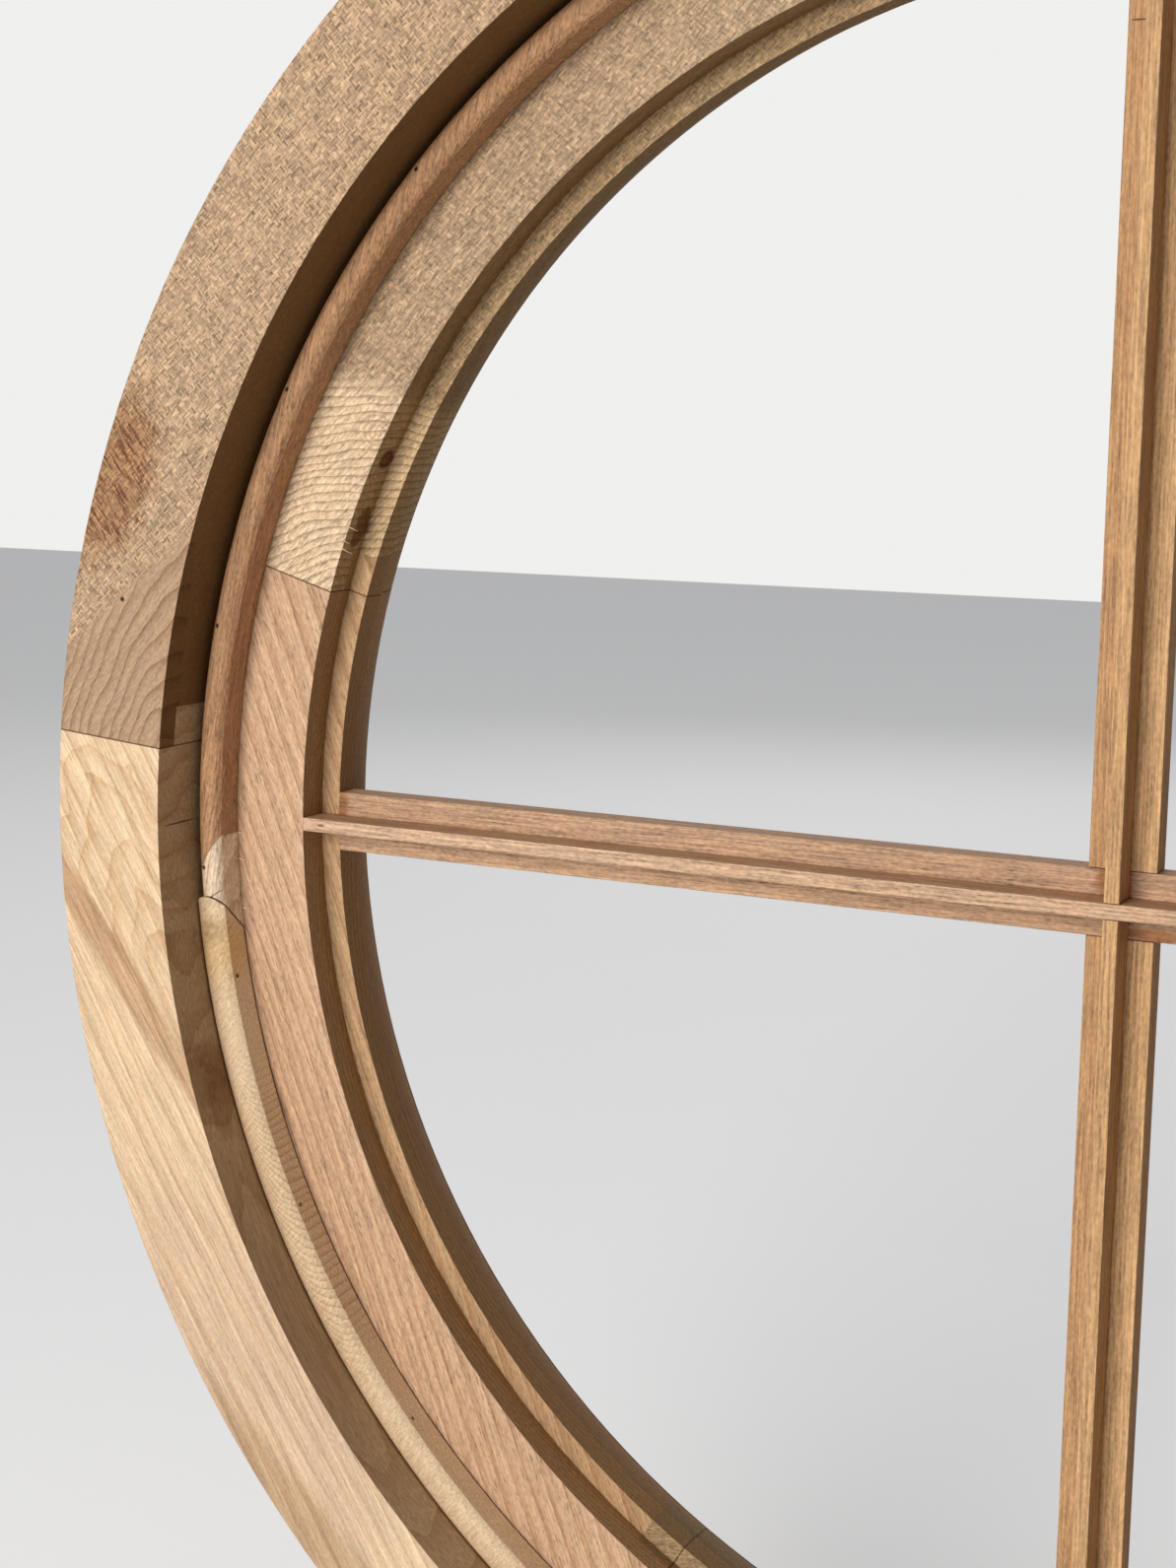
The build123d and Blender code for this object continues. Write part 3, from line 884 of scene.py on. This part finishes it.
class FinishBeads(bpy.types.Operator):
    """Finish the beads of both faces and the patch in the upper one."""

    bl_idname = "window.finish_beads"
    bl_label = "Beads"

    def execute(self, context):
        settings = context.scene.round_window
        for hand, upper_grain, lower_grain in (("left", 258.0, 232.0), ("right", 282.0, 308.0)):
            upper = Surface(f"upper bead timber {hand}", settings.bead_red)
            upper.timber(
                upper_grain, heart=(120.0, 60.0), spacing=4.0, figure=8.0, late=0.70,
                rings=0.20, fibres=1.6, speckle=1.3, pores=0.25,
            )
            lower = Surface(f"lower bead timber {hand}", settings.bead_cream)
            lower.timber(
                lower_grain, heart=(0.0, -90.0), spacing=2.0, figure=6.0, late=0.72,
                rings=0.22, fibres=0.6, speckle=0.8, pores=0.15,
            )
            if hand == "left":
                self.chevrons(lower)
                self.cut_end(lower)
            upper_finish = upper.finished()
            lower_finish = lower.finished()
            for face in ("front", "back"):
                finish_node(f"{face}_upper_bead_{hand}", upper_finish)
                finish_node(f"{face}_lower_bead_{hand}", lower_finish)
        self.patch(settings)
        return {"FINISHED"}

    def chevrons(self, surface):
        """Painted light on the inner flank, and growth lines that cross the bead in rounded
        chevrons.
        """
        inner = surface.disc("Inner flank", inner_flank_radius, 0.005)
        # Painted light on the inner flank of the lower bead
        surface.tint("Painted light on the inner flank", inner, (1.16, 1.20, 1.22))
        figured = surface.oval(
            "Chevron figure", on_ring(347.0, 206.0, 30.0), (62.0, anywhere, 20.0), turn=116.0
        )
        surface.arcs(
            "Chevrons", figured, on_ring(346.0, 191.0, 30.0), (0.70, 0.60, 0.50),
            turn=116.0, stretch=4.0, spacing=0.8, sway=2.5,
        )

    def cut_end(self, surface):
        """Grey, rough and yellowish by the cut, with a burst round the first pin."""
        surface.mark(
            "Rough grey top", on_ring(347.0, 187.0, 33.0), (5.0, 5.0, 6.0), (0.72, 0.68, 0.62),
            softness=0.4, ragged=1.0,
        )
        surface.mark(
            "Yellow end", on_ring(347.0, 188.5, 30.0), (10.0, 10.0, 12.0), (0.95, 0.88, 0.70),
            softness=0.5,
        )
        surface.mark(
            "Burst", on_ring(343.0, 190.2, 32.0), (1.6, 2.4, 2.2), (0.30, 0.20, 0.12),
            softness=0.5, ragged=0.8,
        )

    def patch(self, settings):
        """Greyish patch, paler on its inner side, with a hairline crack."""
        surface = Surface("bead patch timber", settings.bead_grey)
        surface.timber(
            262.0, heart=(-300.0, 40.0), spacing=3.2, figure=26.0, late=0.66,
            rings=0.70, fibres=1.0, speckle=1.2, pores=0.1,
        )
        surface.mark(
            "Pale inner side", on_ring(344.0, 183.4, 28.0), (2.6, 6.0, 13.0), (1.28, 1.36, 1.48),
            softness=0.5, ragged=0.6,
        )
        surface.mark(
            "Tan outer side", on_ring(350.5, 183.5, 32.0), (2.4, 6.0, 13.0), (0.94, 0.88, 0.80),
            softness=0.6, ragged=0.6,
        )
        surface.mark(
            "Crack", on_ring(346.5, 185.0, 35.0), (6.0, 4.0, 0.3), (0.35, 0.26, 0.2),
            turn=38.0, softness=0.4, ragged=0.5,
        )
        finish_node("front_upper_bead_patch", surface.finished())


class BuildSlivers(bpy.types.Operator):
    """Add the torn slivers that stand up by the chip in the sash and beside the patch."""

    bl_idname = "window.build_slivers"
    bl_label = "Slivers"

    def execute(self, context):
        settings = context.scene.round_window
        first = self.model_sliver(context)
        self.row(context, first, "chip", settings.sash_pale, "sash_timber_pale")
        self.row(context, first, "patch", settings.bead_grey, "bead_timber_grey")
        bpy.data.objects.remove(first)
        return {"FINISHED"}

    def model_sliver(self, context):
        """One sliver standing on the origin: a six-sided foot drawn out, thinned and curled."""
        bpy.ops.object.select_all(action="DESELECT")
        bpy.ops.mesh.primitive_circle_add(
            vertices=6, radius=sliver_foot_radius * millimetre, fill_type="NGON"
        )
        bpy.ops.object.mode_set(mode="EDIT")
        rise = sliver_length / sliver_steps * millimetre
        middle = Vector((0.0, 0.0, 0.0))
        for count in range(sliver_steps):
            step = Vector((sliver_curl * count * millimetre, 0.0, rise))
            middle += step
            bpy.ops.mesh.extrude_region_move(TRANSFORM_OT_translate={"value": step})
            bpy.ops.transform.resize(value=sliver_taper, center_override=middle)
        bpy.ops.mesh.select_all(action="SELECT")
        bpy.ops.mesh.normals_make_consistent(inside=False)
        bpy.ops.object.mode_set(mode="OBJECT")
        return context.active_object

    def row(self, context, first, place, light, slot):
        """Finished copies with their feet on one circle."""
        torn_light = [sliver_lightening * share for share in light]
        surface = Surface(f"sliver timber {place}", torn_light)
        surface.timber(
            0.0, heart=(200.0, 60.0), spacing=3.6, figure=16.0, late=0.80,
            rings=0.3, fibres=0.8, speckle=0.6, pores=0.1,
        )
        timber = surface.finished()
        radius, slivers = sliver_rows[place]
        for count, (angle, lean, length) in enumerate(slivers, start=1):
            foot = Vector(on_ring(radius, angle, sliver_foot_height))
            sliver = self.copy_sliver(context, first, foot, lean, length)
            sliver.name = f"sliver_{place}_{count}"
            sliver.data.materials.append(timber)
            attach(sliver, "sash")

    def copy_sliver(self, context, first, foot, lean, length):
        """Copy of the first sliver, with its foot at a place and leaning in and forwards."""
        inward = Vector((-foot.x, 0.0, -foot.z)).normalized()
        pointing = inward + Vector((0.0, -lean, 0.0))
        bpy.ops.object.select_all(action="DESELECT")
        first.select_set(True)
        context.view_layer.objects.active = first
        bpy.ops.object.duplicate()
        sliver = context.active_object
        sliver.location = foot * millimetre
        sliver.rotation_euler = pointing.to_track_quat("Z", "Y").to_euler()
        sliver.scale = (1.0, 1.0, length)
        bpy.ops.object.transform_apply(location=True, rotation=True, scale=True)
        return sliver


class FinishMetalwork(bpy.types.Operator):
    """Finish the pins, pivot plates, sockets and screws."""

    bl_idname = "window.finish_metalwork"
    bl_label = "Metalwork"

    def execute(self, context):
        settings = context.scene.round_window
        brass = metal_material("satin brass", settings.brass, 0.28, 90.0)
        steel = metal_material("dull steel", settings.steel, 0.38, 220.0)
        dark_steel = metal_material("darkened pins", settings.pin_dark, 0.5, 220.0)
        for hand in ("left", "right"):
            finish_node(f"pivot_plate_{hand}", brass)
            finish_node(f"pivot_socket_{hand}", brass)
        for place in ("front_upper", "front_lower", "back_upper", "back_lower"):
            finish_node(f"{place}_bead_pins", dark_steel)
        for fitting in ("plate", "socket"):
            finish_node(f"pivot_{fitting}_screws", steel)
        return {"FINISHED"}


class BuildStage(bpy.types.Operator):
    """Lay the floor and set the lights and the camera."""

    bl_idname = "window.build_stage"
    bl_label = "Stage"

    def execute(self, context):
        settings = context.scene.round_window
        bpy.ops.object.select_all(action="DESELECT")
        bpy.ops.mesh.primitive_plane_add(size=floor_size, location=(0, 0, floor_height))
        floor = context.active_object
        floor.name = "floor"
        floor.data.materials.append(self.floor_material())
        self.light_world(context, settings)
        key_power = settings.key_power
        self.add_lamp(context, "key lamp", (-0.75, -2.7, 0.8), key_power)
        self.add_lamp(context, "top lamp", (-0.3, 0.2, 2.6), key_power * top_lamp_share)
        self.add_lamp(context, "back lamp", (-0.9, 2.6, 1.2), key_power * back_lamp_share)
        bpy.ops.object.camera_add(location=settings.camera_place, rotation=settings.camera_turn)
        camera = context.active_object
        camera.data.sensor_width = 36.0
        camera.data.lens = settings.lens
        context.scene.camera = camera
        context.scene.view_settings.view_transform = "Standard"
        return {"FINISHED"}

    def floor_material(self):
        """Pale floor that looks brighter to the camera than the light on it would make it."""
        material = bpy.data.materials.new("pale floor")
        material.use_nodes = True
        tree = material.node_tree
        shader = tree.nodes["Principled BSDF"]
        place = add_node(tree, "ShaderNodeTexCoord", "Place").outputs["Object"]
        mottle = add_node(
            tree, "ShaderNodeTexNoise", "Faint mottle", {}, {"Vector": place, "Scale": 3.0}
        ).outputs[0]
        tone = mix_colours(tree, "Pale", mottle, (0.80, 0.79, 0.77, 1.0), (0.84, 0.83, 0.81, 1.0))
        seen = add_node(tree, "ShaderNodeLightPath", "Rays").outputs["Is Camera Ray"]
        lift = maths(tree, "Lift", "MULTIPLY", seen, floor_lift)
        tree.links.new(tone, shader.inputs["Base Color"])
        tree.links.new(lift, shader.inputs["Emission Strength"])
        shader.inputs["Emission Color"].default_value = (0.96, 0.97, 1.0, 1.0)
        shader.inputs["Roughness"].default_value = 0.9
        return material

    def light_world(self, context, settings):
        """Even light on the window, and a plain pale backdrop to the camera and in gloss."""
        world = bpy.data.worlds.new("pale surround")
        world.use_nodes = True
        context.scene.world = world
        tree = world.node_tree
        even = tree.nodes["Background"]
        even.inputs["Color"].default_value = (0.95, 0.97, 1.0, 1.0)
        even.inputs["Strength"].default_value = settings.surround
        backdrop = add_node(
            tree, "ShaderNodeBackground", "Backdrop", {}, {"Color": (0.87, 0.87, 0.86, 1.0)}
        ).outputs[0]
        rays = add_node(tree, "ShaderNodeLightPath", "Rays").outputs
        seen = maths(tree, "Seen", "MAXIMUM", rays["Is Camera Ray"], rays["Is Glossy Ray"])
        inputs = {0: seen, 1: even.outputs[0], 2: backdrop}
        either = add_node(tree, "ShaderNodeMixShader", "Surround", {}, inputs).outputs[0]
        tree.links.new(either, tree.nodes["World Output"].inputs["Surface"])

    def add_lamp(self, context, name, place, power):
        """Square lamp that faces the middle of the window."""
        turn = (-Vector(place)).to_track_quat("-Z", "Y").to_euler()
        bpy.ops.object.light_add(type="AREA", location=place, rotation=turn)
        lamp = context.active_object
        lamp.name = name
        lamp.data.size = lamp_size
        lamp.data.energy = power


operators = (
    FinishFrameRing,
    FinishSashRing,
    FinishGlazingBars,
    FinishBeads,
    FinishMetalwork,
    BuildSlivers,
    BuildStage,
)


class WindowPanel(bpy.types.Panel):
    """Lists the window's settings and steps."""

    bl_idname = "VIEW3D_PT_round_window"
    bl_label = "Round Window"
    bl_space_type = "VIEW_3D"
    bl_region_type = "UI"
    bl_category = "Window"

    def draw(self, context):
        for setting in WindowSettings.__annotations__:
            self.layout.prop(context.scene.round_window, setting)
        for operator in operators:
            self.layout.operator(operator.bl_idname)


def register():
    """Adds the settings, the steps and the panel."""
    for item in (WindowSettings, *operators, WindowPanel):
        bpy.utils.register_class(item)
    bpy.types.Scene.round_window = PointerProperty(type=WindowSettings)


def unregister():
    """Removes the panel, the steps and the settings."""
    del bpy.types.Scene.round_window
    for item in reversed((WindowSettings, *operators, WindowPanel)):
        bpy.utils.unregister_class(item)


def main():
    """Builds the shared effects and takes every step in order."""
    register()
    shared["timber"] = solid_timber_group()
    shared["fleck"] = cross_fleck_group()
    shared["oval"] = oval_mask_group()
    shared["arcs"] = growth_arc_group()
    shared["joint"] = joint_line_group()
    bpy.ops.window.finish_frame_ring()
    bpy.ops.window.finish_sash_ring()
    bpy.ops.window.finish_glazing_bars()
    bpy.ops.window.finish_beads()
    bpy.ops.window.finish_metalwork()
    bpy.ops.window.build_slivers()
    bpy.ops.window.build_stage()


if __name__ == "__main__":
    main()
